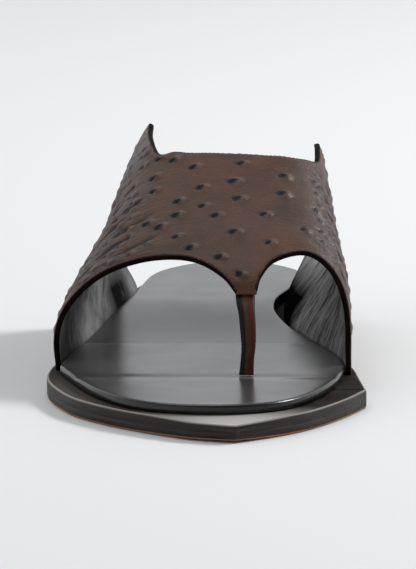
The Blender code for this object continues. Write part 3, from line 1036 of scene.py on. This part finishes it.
def edge_material():
    g = Graph("edge_paint")
    tone = g.noise(240, 3)
    colour = g.mix(g.span(tone, 0.4, 0.75), (0.004, 0.003, 0.003), (0.012, 0.006, 0.004))
    normal = g.bump(g.noise(900, 2), 0.0001, 0.3)
    g.set(Base_Color=colour, Roughness=0.8, Specular_IOR_Level=0.04, Normal=normal)
    return g.material


# Painted shadow inside the strap's rear corner on the little-toe side: its middle in the shared frame, and
# the ways from it over which it fades
CORNER_SHADOW_BACK = 0.047
CORNER_SHADOW_UP = 0.0150
CORNER_SHADOW_BACK_FADE = (0.007, 0.023)
CORNER_SHADOW_UP_FADE = (0.004, 0.012)
# The big-toe side of the lining: painted shade ahead, and near-black painted shade low down beside the slit
BIG_TOE_SIDE = (0.0, 0.005)
SHADED_AHEAD = (-0.045, 0.020)
SLIT_SHADE_BEHIND = (0.012, 0.022)
SLIT_SHADE_BELOW = (0.0190, 0.0290)


def lining_material():
    g = Graph("lining_leather")
    sheen_streak = g.noise(1.0, 5, 0.6, g.stretch((60, 330, 60), (0.7, 0, 0)), 1.5)
    cloud = g.noise(62, 5, 0.62)
    medial = g.span(g.along("X"), *BIG_TOE_SIDE)
    # Painted sheen: the dark lining is coloured grey in clouds, with light streaks, strongest on the big-toe
    # side
    painted_sheen = g.times(g.span(sheen_streak, 0.38, 0.68), g.span(medial, 0.0, 1.0, 0.12, 1.0))
    colour = g.mix(g.span(cloud, 0.40, 0.60), (0.110, 0.108, 0.110), (0.28, 0.275, 0.28))
    colour = g.mix(painted_sheen, colour, (0.85, 0.845, 0.85))
    # Painted shade towards the front of the big-toe side
    shaded = g.times(g.span(g.along("Y"), *SHADED_AHEAD, 0.6, 0.0), medial)
    colour = g.mix(shaded, colour, (0.030, 0.030, 0.032))
    # Painted shadow in the lining's rear corner on the little-toe side
    rear = g.math("ABSOLUTE", g.math("SUBTRACT", g.along("Y"), CORNER_SHADOW_BACK))
    high = g.math("ABSOLUTE", g.math("SUBTRACT", g.along("Z"), CORNER_SHADOW_UP))
    near_up = g.span(high, *CORNER_SHADOW_UP_FADE, 1.0, 0.0)
    corner_shadow = g.times(g.span(rear, *CORNER_SHADOW_BACK_FADE, 1.0, 0.0), near_up)
    corner_shadow = g.times(corner_shadow, g.span(g.along("X"), -0.005, 0.0, 1.0, 0.0))
    corner_shadow = g.times(corner_shadow, g.span(cloud, 0.3, 0.5, 0.6, 1.0))
    colour = g.mix(corner_shadow, colour, (0.012, 0.011, 0.012))
    colour = g.mix(g.span(g.attribute("edge"), 0.2, 0.7, 1.0, 0.0), colour, (0.010, 0.009, 0.010))
    # Near-black painted shade low down beside the slit
    low = g.span(g.along("Z"), *SLIT_SHADE_BELOW, 1.0, 0.0)
    slit = g.times(g.times(low, g.span(g.along("Y"), *SLIT_SHADE_BEHIND)), medial)
    colour = g.mix(slit, colour, (0.004, 0.004, 0.004))
    normal = g.bump(sheen_streak, 0.0004, 0.4, g.bump(g.cells(1600), 0.0001, 0.3))
    g.set(Base_Color=colour, Roughness=0.75, Specular_IOR_Level=0.0, Normal=normal)
    return g.material


def footbed_material():
    g = Graph("footbed_satin")
    tone = g.noise(22, 3)
    sheen_streak = g.noise(1.0, 2, 0.4, g.stretch((5, 90, 20)))
    colour = g.mix(g.span(tone, 0.35, 0.7), (0.034, 0.034, 0.034), (0.046, 0.045, 0.045))
    # Painted reflection: faint lighter streaks across the footbed
    colour = g.mix(g.span(sheen_streak, 0.4, 0.8, 0.0, 0.3), colour, (0.080, 0.079, 0.079))
    # Painted reflection: lighter between the toe crease and the fold where the arch rises
    back = g.along("Y")
    reflection_band = g.span(back, *from_toe(TOE_CREASE_BACK, ARCH_FOLD_BACK))
    ahead = g.span(back, *from_toe(ARCH_FOLD_BACK, ARCH_FOLD_BACK + MM), 1.0, 0.0)
    colour = g.mix(g.times(reflection_band, ahead), colour, (0.150, 0.147, 0.145))
    lift = g.span(g.attribute("level"), 0.86, 0.995)
    colour = g.mix(lift, (0.004, 0.004, 0.004), colour)
    g.set(Base_Color=colour, Roughness=g.span(g.noise(60, 3), 0.3, 0.7, 0.22, 0.27))
    return g.material


def wall_material():
    g = Graph("sole_edge")
    fibre = g.noise(1.0, 4, 0.65, g.stretch((60, 60, 2600)))
    colour = g.mix(g.span(fibre, 0.35, 0.7), (0.006, 0.0045, 0.004), (0.034, 0.025, 0.021))
    # Painted highlight along the top edge of the wall, weaker towards the big-toe side
    rim = g.span(g.attribute("level"), 0.90, 0.98)
    right = g.span(g.along("X"), 0.0, 0.035, 1.0, 0.7)
    colour = g.mix(g.times(rim, right), colour, (0.30, 0.27, 0.245))
    g.set(Base_Color=colour, Roughness=0.5, Specular_IOR_Level=0.3, Normal=g.bump(fibre, 0.0002, 0.4))
    return g.material


# Pale painted highlight on the tip of the sole's top, with a clear coat over it: its middle, and where it
# fades behind and beside that
TIP_GLEAM = 0.011
GLEAM_BACK = (0.010, 0.030)
GLEAM_BESIDE = (0.006, 0.034)
# Painted shade on the sole's top, fading in between these distances behind the toe, in the crevice beside
# the strap and the footbed
CREVICE_SHADE_FROM = (0.070, 0.110)


def sole_top_material():
    g = Graph("sole_top")
    tone = g.noise(90, 3)
    colour = g.mix(g.span(tone, 0.4, 0.7), (0.016, 0.013, 0.012), (0.036, 0.030, 0.027))
    # Painted sheen: the sole's top lighter towards the little-toe side
    colour = g.mix(g.span(g.along("X"), -0.045, 0.015, 1.0, 0.0), colour, (0.070, 0.062, 0.058))
    back = g.along("Y")
    beside = g.math("ABSOLUTE", g.math("SUBTRACT", g.along("X"), TIP_GLEAM))
    front = g.span(back, *from_toe(*GLEAM_BACK), 1.0, 0.0)
    front = g.times(front, g.span(beside, *GLEAM_BESIDE, 1.0, 0.0))
    # Painted highlight: pale colour at the tip of the sole's top
    colour = g.mix(front, colour, (0.50, 0.485, 0.465))
    # Painted shade in the crevice behind the ball
    colour = g.mix(g.span(back, *from_toe(*CREVICE_SHADE_FROM)), colour, (0.008, 0.006, 0.006))
    normal = g.bump(g.noise(700, 3), 0.00003, 0.2)
    g.set(Base_Color=colour, Roughness=0.75, Specular_IOR_Level=0.05, Normal=normal)
    g.set(Coat_Weight=front, Coat_Roughness=0.3, Coat_IOR=1.5)
    return g.material


def tan_material():
    g = Graph("natural_leather")
    tone = g.noise(70, 5, 0.6)
    colour = g.mix(g.span(tone, 0.35, 0.7), (0.20, 0.085, 0.030), (0.34, 0.165, 0.070))
    g.set(Base_Color=colour, Roughness=0.55, Normal=g.bump(g.noise(500, 4), 0.0001, 0.4))
    return g.material


def heel_material():
    g = Graph("heel_stack")
    fibre = g.noise(1.0, 3, 0.6, g.stretch((70, 70, 2200)))
    colour = g.mix(g.span(fibre, 0.35, 0.7), (0.014, 0.011, 0.010), (0.040, 0.032, 0.028))
    g.set(Base_Color=colour, Roughness=0.4, Normal=g.bump(fibre, 0.0002, 0.4))
    return g.material


def post_material():
    g = Graph("post_leather")
    side = g.attribute("side")
    tone = g.noise(220, 3)
    front = g.mix(g.span(tone, 0.35, 0.7), (0.038, 0.0170, 0.0095), (0.078, 0.038, 0.022))
    colour = g.mix(g.span(side, -0.45, -0.2, 1.0, 0.0), front, (0.005, 0.003, 0.003))
    colour = g.mix(g.span(side, 0.25, 0.5), colour, (0.075, 0.012, 0.005))
    colour = g.mix(g.span(side, 0.8, 0.95), colour, (0.008, 0.004, 0.004))
    normal = g.bump(g.noise(800, 3), 0.0001, 0.4)
    g.set(Base_Color=colour, Roughness=0.5, Specular_IOR_Level=0.2, Normal=normal)
    return g.material


def floor_material():
    g = Graph("pale_floor")
    tone = g.noise(0.8, 2)
    g.set(Base_Color=g.mix(tone, (0.78, 0.785, 0.79), (0.80, 0.805, 0.81)), Roughness=0.75)
    return g.material


def finish_piece(piece, node):
    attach(piece, "root")
    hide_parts(node)


def build_object():
    edge, lining = edge_material(), lining_material()
    finish_piece(build_strap([quill_material(), edge, lining]), "upper")
    finish_piece(build_post([post_material()]), "toe_post")
    finish_piece(build_footbed([footbed_material()]), "insole")
    wall, top, tan = wall_material(), sole_top_material(), tan_material()
    finish_piece(build_outsole([tan, wall, top]), "outsole")
    finish_piece(build_heel([heel_material()]), "heel")


FLOOR_HALF = 6.0


def build_floor():
    points = [(x * FLOOR_HALF, y * FLOOR_HALF, 0) for x, y in ((-1, -1), (1, -1), (1, 1), (-1, 1))]
    mesh = bpy.data.meshes.new("floor")
    mesh.from_pydata(points, [], [(0, 1, 2, 3)])
    mesh.materials.append(floor_material())
    floor = bpy.data.objects.new("floor", mesh)
    bpy.context.scene.collection.objects.link(floor)


# Where the camera stands, the sine of its tilt, and how far beside and above that it aims
CAMERA_PLACE = (0.06085, -1.8959, 0.3589)
CAMERA_RISE = 0.1994
AIM_ACROSS = -0.03223
AIM_UP = 0.02767
LENS = 364.6


def build_camera():
    level = math.sqrt(1 - CAMERA_RISE ** 2)
    forward, up = Vector((0, level, -CAMERA_RISE)), Vector((0, CAMERA_RISE, level))
    right = Vector((1, 0, 0))
    aim = (forward + right * AIM_ACROSS + up * AIM_UP).normalized()
    side = (right - aim * right.dot(aim)).normalized()
    over = side.cross(aim)
    data = bpy.data.cameras.new("camera")
    data.lens = LENS
    data.clip_end = 100
    camera = bpy.data.objects.new("camera", data)
    camera.matrix_world = Matrix.Translation(CAMERA_PLACE) @ Matrix(
        ((side.x, over.x, -aim.x), (side.y, over.y, -aim.y), (side.z, over.z, -aim.z))
    ).to_4x4()
    bpy.context.scene.collection.objects.link(camera)
    bpy.context.scene.camera = camera


def area_light(name, place, size, watts):
    data = bpy.data.lights.new(name, "AREA")
    data.shape = "DISK"
    data.size = size
    data.energy = watts
    light = bpy.data.objects.new(name, data)
    light.location = place
    light.rotation_mode = "QUATERNION"
    light.rotation_quaternion = (-Vector(place)).to_track_quat("-Z", "Y")
    bpy.context.scene.collection.objects.link(light)


# Brightness of the studio's walls and of the ceiling, and the heights between which it falls
WALLS_TO_CEILING = (0.86, 0.26)
FALL_HEIGHTS = (0.35, 0.9)
# The dim side of the studio: where it lies, how near to that it counts, and how dim it gets
DIM_SIDE = (0.55, -0.8, 0.1)
DIM_NEAR = (0.35, 0.9)
DIMMED = (1.0, 0.35)
STUDIO_WHITE = (0.97, 0.98, 1.0, 1)


def studio_world():
    """Bright walls round the shoe, a dimmer ceiling and a dim side ahead of it, to the right."""
    world = bpy.data.worlds.new("studio")
    world.use_nodes = True
    nodes, links = world.node_tree.nodes, world.node_tree.links

    def soft_span(value, limits, results):
        node = nodes.new("ShaderNodeMapRange")
        node.interpolation_type = "SMOOTHSTEP"
        links.new(value, node.inputs["Value"])
        for label, number in zip(("From Min", "From Max", "To Min", "To Max"), limits + results):
            node.inputs[label].default_value = number
        return node.outputs["Result"]

    place = nodes.new("ShaderNodeTexCoord").outputs["Generated"]
    split = nodes.new("ShaderNodeSeparateXYZ")
    links.new(place, split.inputs["Vector"])
    side = nodes.new("ShaderNodeVectorMath")
    side.operation = "DOT_PRODUCT"
    links.new(place, side.inputs[0])
    side.inputs[1].default_value = DIM_SIDE
    both = nodes.new("ShaderNodeMath")
    both.operation = "MULTIPLY"
    links.new(soft_span(split.outputs["Z"], FALL_HEIGHTS, WALLS_TO_CEILING), both.inputs[0])
    links.new(soft_span(side.outputs["Value"], DIM_NEAR, DIMMED), both.inputs[1])
    background = nodes["Background"]
    background.inputs["Color"].default_value = STUDIO_WHITE
    links.new(both.outputs["Value"], background.inputs["Strength"])
    bpy.context.scene.world = world


# Place, size and watts of each light
KEY_LIGHT = ((1.3, 0.6, 1.3), 0.5, 24)
TOP_LIGHT = ((-0.3, 0.3, 2.2), 1.6, 13)


def build_light():
    studio_world()
    area_light("key", *KEY_LIGHT)
    area_light("top", *TOP_LIGHT)
    settings = bpy.context.scene.view_settings
    settings.view_transform = "Standard"
    settings.look = "None"


build_object()
build_floor()
build_camera()
build_light()
